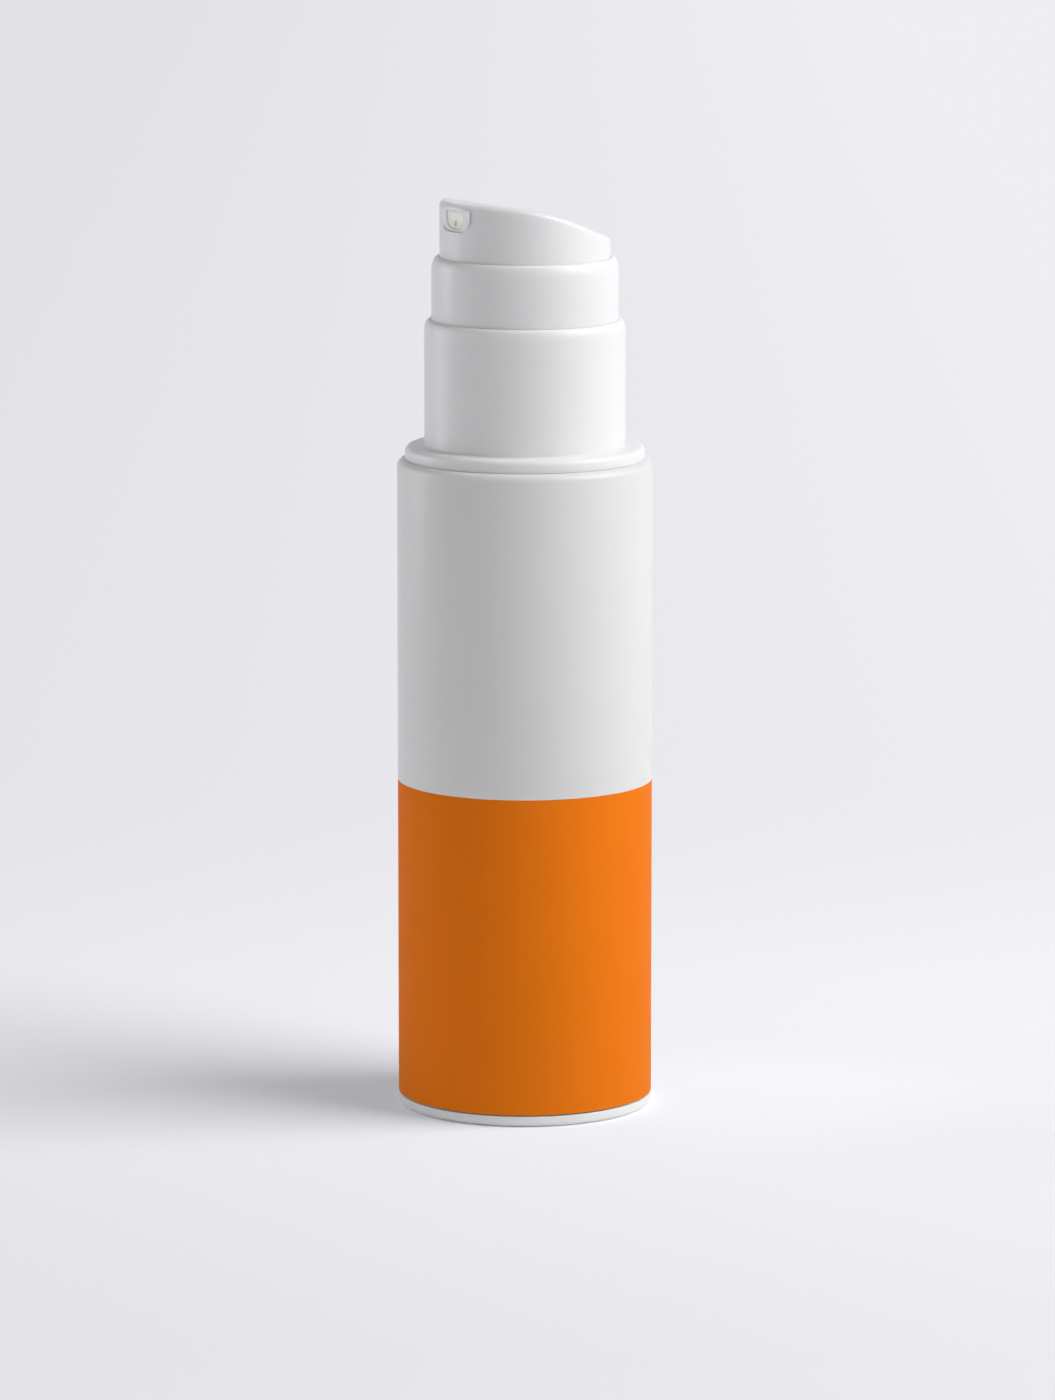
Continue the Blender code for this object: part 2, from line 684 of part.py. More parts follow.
def actuator_shell(axis):
    """The head's skirt and its slanted top, with the spout's window in the high side."""
    base = axis.location.z + axis.parent.location.z
    crown_edge = head_radius - HEAD_FILLET
    rings = [step / CROWN_RINGS for step in range(1, CROWN_RINGS + 1)]
    top = [(crown_edge * (1 - ring), head_top) for ring in rings]
    ceiling = [(head_bore * ring, head_top - HEAD_TOP_WALL) for ring in rings]
    outline = [
        (head_bore, head_foot),
        (head_radius, head_foot),
        *outer_edge(head_radius, head_top, HEAD_FILLET, HEAD_FILLET),
        *top,
        (0, head_top - HEAD_TOP_WALL),
        *ceiling,
    ]
    bm = turned(outline, BODY_SEGMENTS)
    crown_foot = head_top - max(HEAD_TOP_WALL, HEAD_FILLET) - SEAT_GAP
    for vert in bm.verts:
        if vert.co.z > crown_foot:
            vert.co.z -= head_drop(vert.co.y)
    bmesh.ops.translate(bm, verts=bm.verts, vec=(0, 0, -base))
    made = finish("actuator_shell", bm, white_gloss, axis)
    outline = window_outline(WINDOW_WIDTH / 2, window_foot - base, window_top - base, WINDOW_CORNER)
    cutter = slab(outline, -head_radius - CUT_OVERRUN, -frame_back)
    combine(made, helper("window", cutter, axis), "DIFFERENCE")
    return made


def tip_outline(grow, base):
    half_width = TIP_WIDTH / 2 + grow
    foot = tip_level - TIP_HEIGHT / 2 - grow - base
    top = tip_level + TIP_HEIGHT / 2 + grow - base
    return window_outline(half_width, foot, top, TIP_CORNER + grow)


def nozzle_frame(axis):
    """The white plate in the window, with a hole for the tip."""
    base = axis.location.z + axis.parent.location.z
    half_width = WINDOW_WIDTH / 2 - TIP_GAP
    foot = window_foot + TIP_GAP - base
    top = window_top - TIP_GAP - base
    outline = window_outline(half_width, foot, top, WINDOW_CORNER - TIP_GAP)
    made = finish("nozzle_frame", slab(outline, -frame_face, -frame_back), white_gloss, axis)
    hole = slab(tip_outline(TIP_GAP, base), -frame_face - CUT_OVERRUN, -frame_back + CUT_OVERRUN)
    combine(made, helper("tip_hole", hole, axis), "DIFFERENCE")
    return made


def nozzle_tip(axis):
    """The soft tinted tip in the frame, with the orifice low in its middle."""
    base = axis.location.z + axis.parent.location.z
    face = -frame_face + TIP_RECESS
    back = -frame_back + TIP_BACK
    made = finish("nozzle_tip", slab(tip_outline(0, base), face, back), tip_elastomer, axis)
    level = orifice_level - base
    start = (0, face - CUT_OVERRUN, level)
    end = (0, back + CUT_OVERRUN, level)
    cutter = helper("orifice", rod(ORIFICE_RADIUS, start, end, SMALL_SEGMENTS), axis)
    combine(made, cutter, "DIFFERENCE")
    return made


def spout_channel(axis):
    """The plate and tower that sit on the stem inside the head, and the spout's rising tube."""
    base = axis.location.z + axis.parent.location.z
    socket = STEM_RADIUS + FIT_GAP
    tower = socket + SOCKET_WALL
    socket_top = stem_top + SEAT_GAP
    bore_top = socket_top + TOWER_BORE_HEIGHT
    tower_top = head_top - HEAD_TOP_WALL - head_drop(tower) - SEAT_GAP
    plate_radius = head_bore - FIT_GAP
    outline = [
        (socket, core_foot),
        (socket, socket_top),
        (stem_bore, socket_top),
        (stem_bore, bore_top),
        (0, bore_top),
        (0, tower_top),
        (tower, tower_top),
        (tower, core_foot + CORE_PLATE),
        (plate_radius, core_foot + CORE_PLATE),
        (plate_radius, core_foot),
    ]
    local = [(radius, level - base) for radius, level in outline]
    made = finish("spout_channel", turned(local, PUMP_SEGMENTS), natural_plastic, axis)
    spring = Vector((0, 0, bore_top - SPOUT_BORE - base))
    mouth = Vector((0, -spout_end, orifice_level - base))
    slope = (mouth - spring).normalized()
    beyond = mouth + slope * (SPOUT_RADIUS + CUT_OVERRUN)
    tube = rod(SPOUT_RADIUS, spring + slope * SPOUT_START, beyond, SMALL_SEGMENTS)
    combine(made, helper("spout_tube", tube, axis), "UNION")
    bore = rod(SPOUT_BORE, spring, beyond + slope * CUT_OVERRUN, SMALL_SEGMENTS)
    combine(made, helper("spout_bore", bore, axis), "DIFFERENCE")
    reach = head_radius
    outline = [(-reach, -reach), (reach, -reach), (reach, reach), (-reach, reach)]
    trim = slab(outline, -spout_end - reach, -spout_end)
    bmesh.ops.translate(trim, verts=trim.verts, vec=(0, 0, mouth.z))
    combine(made, helper("spout_trim", trim, axis), "DIFFERENCE")
    return made


for item in list(bpy.data.objects):
    bpy.data.objects.remove(item, do_unlink=True)

white_body = material("white_body", (0.80, 0.80, 0.80), 0.42)
white_gloss = material("white_gloss", (0.84, 0.84, 0.84), 0.30)
orange_film = material("orange_film", (0.90, 0.21, 0.01), 0.42)
natural_plastic = material("natural_plastic", (0.72, 0.73, 0.72), 0.40)
soft_seal = material("soft_seal", (0.62, 0.64, 0.66), 0.55)
tip_elastomer = material("tip_elastomer", (0.70, 0.72, 0.50), 0.45)
spring_steel = material("spring_steel", (0.60, 0.60, 0.62), 0.30, 1.0)
hidden_finish = material("hidden_finish", (0.50, 0.50, 0.50), 0.50)

bottle_body()
orange_wrap()
base_cap()
follower_piston()
neck_gasket()
pump_housing()
chaplet()
inlet_valve()
return_spring()
neck_closure()
guide_sleeve()
outer_collar()

stem_axis = axis_empty("stem_axis", stop_level)
stem(stem_axis)
stem_plug(stem_axis)
pump_piston(stem_axis)
head_axis = axis_empty("head_axis", core_foot - stop_level, stem_axis)
actuator_shell(head_axis)
nozzle_frame(head_axis)
nozzle_tip(head_axis)
spout_channel(head_axis)

well_floor_level = follower_foot + FOLLOWER_WELL_LIFT + FOLLOWER_WALL
print(f"follower travel {(valve_foot - SEAT_GAP - well_floor_level) / MM:.1f} mm")
print(f"shoulder {shoulder_level / MM:.1f}, ledge {ledge_top / MM:.1f}, head {head_top / MM:.1f} mm")
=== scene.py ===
"""Looks of the airless sunscreen bottle.

Fine turned mouldings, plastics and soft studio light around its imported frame.
"""

import json
import math

import bmesh
import bpy
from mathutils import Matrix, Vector


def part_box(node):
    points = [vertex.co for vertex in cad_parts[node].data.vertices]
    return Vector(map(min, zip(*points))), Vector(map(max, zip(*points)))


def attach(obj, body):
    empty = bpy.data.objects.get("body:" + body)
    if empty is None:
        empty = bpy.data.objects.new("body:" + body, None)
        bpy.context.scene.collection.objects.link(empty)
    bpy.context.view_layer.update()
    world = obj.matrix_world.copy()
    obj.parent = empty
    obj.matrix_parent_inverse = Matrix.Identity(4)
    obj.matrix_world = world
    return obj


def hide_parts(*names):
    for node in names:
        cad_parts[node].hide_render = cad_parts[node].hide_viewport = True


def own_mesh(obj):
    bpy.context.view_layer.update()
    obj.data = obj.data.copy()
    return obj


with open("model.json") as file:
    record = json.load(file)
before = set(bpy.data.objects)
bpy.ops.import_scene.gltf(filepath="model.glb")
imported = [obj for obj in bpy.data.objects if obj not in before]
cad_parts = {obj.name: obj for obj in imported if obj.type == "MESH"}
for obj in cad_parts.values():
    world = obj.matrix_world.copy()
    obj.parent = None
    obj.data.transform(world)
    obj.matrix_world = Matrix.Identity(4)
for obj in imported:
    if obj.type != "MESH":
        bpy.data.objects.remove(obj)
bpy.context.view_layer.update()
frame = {"nodes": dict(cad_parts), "record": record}

MM = 0.001

# How finely the shapes are made
ROUND_STEPS = 192  # segments of the turned pieces
FILLET_STEPS = 6
PLATE_CORNER_STEPS = 12
RIM_STEPS = 3
CROWN_CUTS = 18  # rings across the head's slanted top
ORIFICE_SEGMENTS = 32
WIRE_SEGMENTS = 12
COIL_STEPS = 36  # in one turn of the spring
ON_LEVEL = MM / 100  # how near to a level a point counts as on it
MERGE = MM / 1000  # points nearer than this become one
CROWN_MARGIN = MM / 10  # how far under the ceiling a point still belongs to the head's top
SHARP_RIM = math.radians(40)  # a rim edge with more than this between its faces is rounded
OVERRUN = 1.0 * MM  # how far a cutter runs past the face that it opens
ORIFICE_OVERRUN = 0.1 * MM  # the same for the orifice, both ends together


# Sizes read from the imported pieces


def low(node):
    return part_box(node)[0]


def high(node):
    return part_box(node)[1]


body_radius = high("bottle_body").x
body_foot = low("bottle_body").z
neck_top = high("bottle_body").z
wrap_top = high("orange_wrap").z
ledge_foot = low("outer_collar").z
collar_top = high("outer_collar").z
ledge_radius = high("outer_collar").x
sleeve_foot = low("guide_sleeve").z
sleeve_top = high("guide_sleeve").z
sleeve_radius = high("guide_sleeve").x
head_foot = low("actuator_shell").z
head_top = high("actuator_shell").z
head_radius = high("actuator_shell").x
base_plug_top = high("base_cap").z
spring_foot = low("return_spring").z
spring_top = high("return_spring").z
frame_face = low("nozzle_frame").y
frame_back = high("nozzle_frame").y
window_foot = low("nozzle_frame").z
window_top = high("nozzle_frame").z
window_half = high("nozzle_frame").x
tip_half = high("nozzle_tip").x
tip_foot = low("nozzle_tip").z
tip_top = high("nozzle_tip").z
tip_back = high("nozzle_tip").y

# Body and film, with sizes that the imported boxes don't give
BODY_WALL = 1.9 * MM
BODY_INNER_FILLET = 1.0 * MM
SHOULDER_FILLET = 1.5 * MM
NECK_RADIUS = 16.3 * MM
NECK_BORE = 15.0 * MM
NECK_HEIGHT = 12.55 * MM
BEAD = 0.5 * MM  # how far the neck's snap bead stands out
BEAD_DEPTH = 3.0 * MM  # from the neck's top down to the bead
BEAD_HEIGHT = 2.0 * MM
FILM = 0.12 * MM
FILM_SEAT = 0.03 * MM  # between the film and the panel that it lies in
FILM_EDGE = 0.02 * MM
FILM_FOOT_EDGE = 0.04 * MM

# Base cap
BASE_RIM = 2.1 * MM
BASE_RIM_EDGE = 0.08 * MM
BASE_FILLET = 1.1 * MM
BASE_RING = 3.2 * MM  # width of the ring that the bottle stands on
BASE_RECESS = 0.9 * MM
BASE_FLOOR = 1.3 * MM
BASE_PLUG = 22.8 * MM  # radius of the part that snaps into the body
BASE_PLUG_WALL = 1.3 * MM
BASE_PLUG_EDGE = 0.4 * MM
BASE_PLUG_ROOT = 0.5 * MM
VENT = 0.8 * MM

# Collar and sleeve. An oval rim has a width and a height.
LEDGE_HEIGHT = 2.3 * MM
LEDGE_FILLET = 1.1 * MM
LEDGE_FOOT_EDGE = 0.04 * MM
COLLAR_RADIUS = 19.65 * MM
COLLAR_ROOT = 0.4 * MM
COLLAR_EDGE = (0.95 * MM, 2.1 * MM)
COLLAR_BORE_EDGE = 0.05 * MM
CORE_WIDTH = 1.5 * MM  # groove in the ledge's underside, which keeps the wall even
CORE_DEPTH = 1.1 * MM
SLEEVE_EDGE = (1.1 * MM, 2.9 * MM)
LAP_RADIUS = 17.65 * MM
LAP_HEIGHT = 0.9 * MM
SEAM = 0.015 * MM  # what shows between neighbouring mouldings

# Head, with its spout window
HEAD_WALL = 1.4 * MM
HEAD_TOP_WALL = 1.3 * MM
HEAD_FILLET = 1.1 * MM
HEAD_DROP = 7.5 * MM  # from the highest edge, over the spout, to the lowest
HEAD_SLOPE_POWER = 1.25  # above 1, the top stays level for longer over the spout
WINDOW_CORNER = 3.0 * MM
SPOUT_SEAM = 0.005 * MM
FRAME_RIM = 0.04 * MM
TIP_CORNER = 1.9 * MM
TIP_RIM = 0.08 * MM
ORIFICE_MOUTH = 0.5 * MM  # radius in front, and behind that it narrows to the throat
ORIFICE_THROAT = 0.3 * MM
ORIFICE_SINK = 0.6 * MM  # from the tip's middle down to the orifice

# Spring
WIRE = 1.0 * MM  # diameter
SPRING_TURNS = 6

# Roundings that several pieces share
SLIM_EDGE = 0.1 * MM
FINE_EDGE = 0.2 * MM
WIDE_EDGE = 0.3 * MM

# Camera: at the photograph's angle, with a long lens
CAMERA_TURN = math.radians(57)
CAMERA_TILT = math.radians(9.8)
CAMERA_DISTANCE = 1474.2 * MM
AIM_HEIGHT = 80.353 * MM
AIM_RIGHT = 0.511 * MM
LENS = 192.86
SENSOR_WIDTH = 36

# Directions on the floor, as the camera looks: to its right, and away from it
RIGHT = (math.cos(CAMERA_TURN), math.sin(CAMERA_TURN), 0)
AWAY = (-math.sin(CAMERA_TURN), math.cos(CAMERA_TURN), 0)

# Lamps
LAMP_DISTANCE = 1.5
LAMP_AIM_HEIGHT = 90 * MM

# Room and backdrop. The backdrop darkens overhead, between two upward shares of a ray's direction.
ROOM_STRENGTH = 0.28
BACKDROP_RISE = (0.12, 0.5)
BACKDROP_STRENGTH = (0.96, 0.1)

# Paper, in metres from the bottle. Lit paper near the bottle goes over to plain pale paper.
PAPER_FADE = (0.06, 0.42)
# The far paper's painted light, darker to the left and brighter to the right
PAPER_SPAN = (-0.2, 0.2)  # from left to right
PAPER_STRENGTH = (0.9, 1.02)
# Painted light on the paper near the bottle, which grows towards the back
PAINTED_LIGHT_DEPTH = (-0.2, 0.12)  # from in front of the bottle to behind it
PAINTED_LIGHT_STRENGTH = (0.07, 0.185)
# A painted patch of light on the paper, standing for light thrown back by the bottle
PAINTED_BOUNCE_RIGHT = 0.045  # light thrown back by the bottle's bright side, centred here
PAINTED_BOUNCE_REACH = (0.01, 0.06)
PAINTED_BOUNCE_STRENGTH = (0.06, 0.0)
FLOOR_RADIUS = 6.0
FLOOR_SEGMENTS = 96
FLOOR_DROP = 0.02 * MM  # keeps the paper clear of the standing ring

WHITE = "#FFFFFF"
PALE_GREY = "#ECECF1"  # backdrop and far paper
PAPER_WHITE = "#F1F1F5"

# Turns a shape made facing up so that it faces the bottle's back
UP_TO_BACK = Vector((0, 1, 0)).to_track_quat("Z", "X").to_matrix()


# Mesh tools


def round_off(bm, geom, size, affect, steps):
    bmesh.ops.bevel(
        bm, geom=geom, offset=size, affect=affect, segments=steps, profile=0.5, material=-1
    )


def wire_outline(corners):
    """A closed outline in the XZ plane, from corners of (radius, height, rounding)."""
    bm = bmesh.new()
    ring = [bm.verts.new((radius, 0, height)) for radius, height, _ in corners]
    bm.faces.new(ring)
    for vert, (_, _, rounding) in zip(ring, corners):
        if rounding:
            round_off(bm, [vert], rounding, "VERTICES", FILLET_STEPS)
    bmesh.ops.delete(bm, geom=list(bm.faces), context="FACES_ONLY")
    return bm


def turned(corners, cuts=()):
    """Turns an outline about the bottle's axis. Each of cuts is a height and how often its edge is cut."""
    bm = wire_outline(corners)
    for height, count in cuts:
        level = [
            edge
            for edge in bm.edges
            if all(abs(vert.co.z - height) < ON_LEVEL for vert in edge.verts)
        ]
        longest = max(level, key=lambda edge: edge.calc_length())
        bmesh.ops.subdivide_edges(bm, edges=[longest], cuts=count)
    bmesh.ops.spin(
        bm,
        geom=list(bm.verts) + list(bm.edges),
        cent=(0, 0, 0),
        axis=(0, 0, 1),
        angle=math.tau,
        steps=ROUND_STEPS,
        use_merge=True,
    )
    close(bm)
    return bm


def draw_out(bm, top, edge):
    """Stretches the rounding under a rim down, from a round section to an oval one."""
    width, height = edge
    for vert in bm.verts:
        if vert.co.z > top - width - ON_LEVEL:
            vert.co.z = top - (top - vert.co.z) * height / width


def close(bm):
    bmesh.ops.remove_doubles(bm, verts=bm.verts, dist=MERGE)
    bmesh.ops.recalc_face_normals(bm, faces=bm.faces)


def u_plate(half_width, foot, top, corner, front, back):
    """A plate with a flat top and round lower corners, which faces the front of the bottle."""
    bm = bmesh.new()
    points = [(-half_width, top), (half_width, top), (half_width, foot), (-half_width, foot)]
    ring = [bm.verts.new((x, front, z)) for x, z in points]
    bm.faces.new(ring)
    for vert in ring[2:]:
        round_off(bm, [vert], corner, "VERTICES", PLATE_CORNER_STEPS)
    grown = bmesh.ops.extrude_face_region(bm, geom=list(bm.faces))["geom"]
    verts = [item for item in grown if isinstance(item, bmesh.types.BMVert)]
    bmesh.ops.translate(bm, verts=verts, vec=(0, back - front, 0))
    close(bm)
    return bm


def soften_rim(bm, level, size):
    """Rounds the sharp edges that lie at a depth y."""
    rim = [
        edge
        for edge in bm.edges
        if all(abs(vert.co.y - level) < ON_LEVEL for vert in edge.verts)
        and edge.calc_face_angle(0) > SHARP_RIM
    ]
    round_off(bm, rim, size, "EDGES", RIM_STEPS)


def mesh_of(name, bm):
    """A mesh made from a bmesh, which is used up."""
    mesh = bpy.data.meshes.new(name)
    bm.to_mesh(mesh)
    bm.free()
    return mesh


def placed(name, data):
    """A new object in the scene."""
    made = bpy.data.objects.new(name, data)
    bpy.context.scene.collection.objects.link(made)
    return made


def piece(name, bm, body, material, stands_for, sharp=35):
    """Makes a bmesh a piece that rides on a body and stands for a CAD node.

    Edges with more than sharp degrees between their faces are shaded as sharp.
    """
    mesh = mesh_of(name, bm)
    mesh.shade_smooth()
    mesh.set_sharp_from_angle(angle=math.radians(sharp))
    mesh.materials.append(material)
    made = placed(name, mesh)
    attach(made, body)
    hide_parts(stands_for)
    return made


def cut_away(bm, cutter):
    """Cuts one closed bmesh from another and returns the result, with both used up."""
    pair = [placed("blank", mesh_of("blank", source)) for source in (bm, cutter)]
    blank, tool = pair
    cut = blank.modifiers.new("cut", "BOOLEAN")
    cut.operation = "DIFFERENCE"
    cut.solver = "EXACT"
    cut.object = tool
    graph = bpy.context.evaluated_depsgraph_get()
    result = bmesh.new()
    result.from_mesh(blank.evaluated_get(graph).to_mesh())
    for item in pair:
        mesh = item.data
        bpy.data.objects.remove(item)
        bpy.data.meshes.remove(mesh)
    return result


# Materials


def linear(colour):
    """An sRGB hex colour as linear RGBA."""
    shares = [int(colour[i : i + 2], 16) / 255 for i in (1, 3, 5)]
    return (*(s / 12.92 if s <= 0.04045 else ((s + 0.055) / 1.055) ** 2.4 for s in shares), 1.0)


def add(tree, kind, links=(), **settings):
    """Adds a node with its settings. Each link is an input, and the output that feeds it or its value."""
    node = tree.nodes.new(kind)
    for key, value in settings.items():
        setattr(node, key, value)
    for socket, source in links:
        if isinstance(source, bpy.types.NodeSocket):
            tree.links.new(source, node.inputs[socket])
        else:
            node.inputs[socket].default_value = source
    return node


def new_material(name):
    """A material with nodes, and its node tree."""
    made = bpy.data.materials.new(name)
    made.use_nodes = True
    return made, made.node_tree


FLOW_WIDTH = 25 * MM  # how wide the shade drifts, as flow in a mould leaves it
SHEEN_WIDTH = 6 * MM  # how wide the sheen varies
GLOW_RADII = (1.0, 1.0, 0.9)  # red, green and blue: blue goes least far into a warm white


def plastic(
    name,
    shade,
    deep_shade,
    roughness,
    roughness_spread,
    grain_mm,
    grain_depth_mm,
    ior,
    specular=0.5,
    glow_mm=0,
):
    """A moulded plastic: faint shade drift from flow, uneven sheen and a fine moulded grain.

    grain_mm and grain_depth_mm are the grain's size and depth. glow_mm is how far light goes under
    the surface.
    """
    made, tree = new_material(name)
    shader = tree.nodes["Principled BSDF"]
    place = add(tree, "ShaderNodeTexCoord").outputs["Object"]
    drift = add(
        tree, "ShaderNodeTexNoise", [("Vector", place), ("Scale", 1 / FLOW_WIDTH), ("Detail", 2.0)]
    )
    tint = add(
        tree,
        "ShaderNodeMix",
        [("Factor", drift.outputs["Fac"]), ("A", linear(shade)), ("B", linear(deep_shade))],
        data_type="RGBA",
    )
    sheen = add(
        tree, "ShaderNodeTexNoise", [("Vector", place), ("Scale", 1 / SHEEN_WIDTH), ("Detail", 3.0)]
    )
    sheen_range = add(
        tree,
        "ShaderNodeMapRange",
        [
            ("Value", sheen.outputs["Fac"]),
            ("To Min", roughness - roughness_spread),
            ("To Max", roughness + roughness_spread),
        ],
    )
    grain = add(
        tree,
        "ShaderNodeTexNoise",
        [("Vector", place), ("Scale", 1 / (grain_mm * MM)), ("Detail", 2.0)],
    )
    relief = add(
        tree,
        "ShaderNodeBump",
        [("Height", grain.outputs["Fac"]), ("Distance", grain_depth_mm * MM), ("Strength", 1.0)],
    )
    for socket, source in (
        ("Base Color", tint.outputs["Result"]),
        ("Roughness", sheen_range.outputs["Result"]),
        ("Normal", relief.outputs["Normal"]),
    ):
        tree.links.new(source, shader.inputs[socket])
    shader.inputs["IOR"].default_value = ior
    shader.inputs["Specular IOR Level"].default_value = specular
    if glow_mm:
        shader.inputs["Subsurface Weight"].default_value = 1.0
        shader.inputs["Subsurface Radius"].default_value = GLOW_RADII
        shader.inputs["Subsurface Scale"].default_value = glow_mm * MM
    made.diffuse_color = linear(shade)
    return made


# Blow-moulded white polypropylene, satin: the body. Its tool is finely blasted, so highlights are
# wide and soft.
satin_polypropylene = plastic(
    "satin_white_polypropylene",
    "#E9E8E7",
    "#E6E5E4",
    roughness=0.34,
    roughness_spread=0.03,
    grain_mm=0.45,
    grain_depth_mm=0.0015,
    ior=1.49,
    glow_mm=0.5,
)

# Injection-moulded white polypropylene from a half-polished tool: collars, head and base cap. A shade
# brighter than the body, with a more even sheen.
moulded_polypropylene = plastic(
    "moulded_white_polypropylene",
    "#F1F1F1",
    "#EFEFEF",
    roughness=0.33,
    roughness_spread=0.02,
    grain_mm=0.9,
    grain_depth_mm=0.0012,
    ior=1.49,
    glow_mm=0.6,
)

# Printed orange film on the body's lower half: a dense pigment under a dull varnish, so it mirrors
# very little.
orange_film = plastic(
    "printed_orange_film",
    "#F37D14",
    "#F17B13",
    roughness=0.6,
    roughness_spread=0.03,
    grain_mm=0.4,
    grain_depth_mm=0.0012,
    ior=1.46,
    specular=0.05,
)

# Unpigmented polypropylene, moulded: the pump's inner pieces. Milky, with a waxy sheen.
natural_polypropylene = plastic(
    "natural_polypropylene",
    "#DCDDD9",
    "#D6D8D3",
    roughness=0.38,
    roughness_spread=0.04,
    grain_mm=0.8,
    grain_depth_mm=0.002,
    ior=1.49,
)

# Low-density polyethylene, moulded: the seals. Softer and duller, faintly blue.
seal_polyethylene = plastic(
    "seal_polyethylene",
    "#D3D8DB",
    "#CCD2D6",
    roughness=0.52,
    roughness_spread=0.04,
    grain_mm=0.6,
    grain_depth_mm=0.003,
    ior=1.51,
)

# Thermoplastic elastomer, moulded: the spout's tip. Milky, faintly yellow, with a wet-looking sheen.
tip_elastomer = plastic(
    "tip_elastomer",
    "#F8F9E4",
    "#F4F5DC",
    roughness=0.34,
    roughness_spread=0.03,
    grain_mm=0.5,
    grain_depth_mm=0.001,
    ior=1.5,
    specular=0.9,
    glow_mm=1.0,
)

# Stainless spring wire, drawn: a bright grey whose shade and sheen vary finely.
WIRE_GRAIN = 0.3 * MM
spring_wire, wire_tree = new_material("drawn_stainless_wire")
wire_shader = wire_tree.nodes["Principled BSDF"]
wire_shader.inputs["Metallic"].default_value = 1.0
wire_place = add(wire_tree, "ShaderNodeTexCoord").outputs["Object"]
wire_noise = add(
    wire_tree, "ShaderNodeTexNoise", [("Vector", wire_place), ("Scale", 1 / WIRE_GRAIN)]
)
wire_tint = add(
    wire_tree,
    "ShaderNodeMix",
    [("Factor", wire_noise.outputs["Fac"]), ("A", linear("#C9C9CC")), ("B", linear("#B4B4B8"))],
    data_type="RGBA",
)
wire_rough = add(
    wire_tree,
    "ShaderNodeMapRange",
    [("Value", wire_noise.outputs["Fac"]), ("To Min", 0.22), ("To Max", 0.36)],
)
wire_tree.links.new(wire_tint.outputs["Result"], wire_shader.inputs["Base Color"])
wire_tree.links.new(wire_rough.outputs["Result"], wire_shader.inputs["Roughness"])


# Pieces


def body_shell():
    panel = body_radius - FILM - FILM_SEAT
    panel_top = wrap_top + FILM_SEAT
    shoulder = neck_top - NECK_HEIGHT
    bore = body_radius - BODY_WALL
    bead_top = neck_top - BEAD_DEPTH
    bead_foot = bead_top - BEAD_HEIGHT
    corners = [
        (bore, body_foot, FINE_EDGE),
        (panel, body_foot, 0),
        (panel, panel_top, 0),
        (body_radius, panel_top, FILM_EDGE),
        (body_radius, shoulder, SHOULDER_FILLET),
        (NECK_RADIUS, shoulder, WIDE_EDGE),
        (NECK_RADIUS, bead_foot, 0),
        (NECK_RADIUS + BEAD, bead_foot + BEAD, FINE_EDGE),
        (NECK_RADIUS + BEAD, bead_top - BEAD, FINE_EDGE),
        (NECK_RADIUS, bead_top, 0),
        (NECK_RADIUS, neck_top, FINE_EDGE),
        (NECK_BORE, neck_top, FINE_EDGE),
        (NECK_BORE, shoulder - BODY_WALL, WIDE_EDGE),
        (bore, shoulder - BODY_WALL, BODY_INNER_FILLET),
    ]
    piece("body_shell", turned(corners), "bottle", satin_polypropylene, "bottle_body")


def printed_film():
    inner = body_radius - FILM
    foot = low("orange_wrap").z
    corners = [
        (inner, foot, 0),
        (body_radius, foot, FILM_FOOT_EDGE),
        (body_radius, wrap_top, FILM_EDGE),
        (inner, wrap_top, 0),
    ]
    film = piece("printed_film", turned(corners), "bottle", orange_film, "orange_wrap")
    film.visible_diffuse = False  # its orange glow would tint the pale paper more than a studio shot shows


def foot_cap():
    ring_outer = body_radius - BASE_FILLET
    ring_inner = ring_outer - BASE_RING
    plug_bore = BASE_PLUG - BASE_PLUG_WALL
    floor_top = BASE_RECESS + BASE_FLOOR
    corners = [
        (VENT, BASE_RECESS, FINE_EDGE),
        (ring_inner - BASE_RECESS, BASE_RECESS, WIDE_EDGE),
        (ring_inner, 0, WIDE_EDGE),
        (body_radius, 0, BASE_FILLET),
        (body_radius, BASE_RIM, BASE_RIM_EDGE),
        (BASE_PLUG, BASE_RIM, FINE_EDGE),
        (BASE_PLUG, base_plug_top, BASE_PLUG_EDGE),
        (plug_bore, base_plug_top, WIDE_EDGE),
        (plug_bore, floor_top, BASE_PLUG_ROOT),
        (VENT, floor_top, FINE_EDGE),
    ]
    piece("foot_cap", turned(corners), "bottle", moulded_polypropylene, "base_cap")


def cap_collar():
    bore = sleeve_radius + SEAM
    foot = neck_top - NECK_HEIGHT + SEAM
    ledge_top = ledge_foot + LEDGE_HEIGHT
    core = (COLLAR_RADIUS + ledge_radius) / 2
    corners = [
        (bore, foot, 0),
        (core - CORE_WIDTH / 2, foot, 0),
        (core - CORE_WIDTH / 2, foot + CORE_DEPTH, 0),
        (core + CORE_WIDTH / 2, foot + CORE_DEPTH, 0),
        (core + CORE_WIDTH / 2, foot, 0),
        (ledge_radius, foot, LEDGE_FOOT_EDGE),
        (ledge_radius, ledge_top, LEDGE_FILLET),
        (COLLAR_RADIUS, ledge_top, COLLAR_ROOT),
        (COLLAR_RADIUS, collar_top, COLLAR_EDGE[0]),
        (bore, collar_top, COLLAR_BORE_EDGE),
    ]
    bm = turned(corners)
    draw_out(bm, collar_top, COLLAR_EDGE)
    piece("cap_collar", bm, "bottle", moulded_polypropylene, "outer_collar")


def sleeve():
    bore = head_radius + SEAM
    corners = [
        (bore, sleeve_foot + LAP_HEIGHT, SLIM_EDGE),
        (LAP_RADIUS, sleeve_foot + LAP_HEIGHT, 0),
        (LAP_RADIUS, sleeve_foot, SLIM_EDGE),
        (sleeve_radius, sleeve_foot, SLIM_EDGE),
        (sleeve_radius, sleeve_top, SLEEVE_EDGE[0]),
        (bore, sleeve_top, SLIM_EDGE),
    ]
    bm = turned(corners)
    draw_out(bm, sleeve_top, SLEEVE_EDGE)
    piece("sleeve", bm, "bottle", moulded_polypropylene, "guide_sleeve")


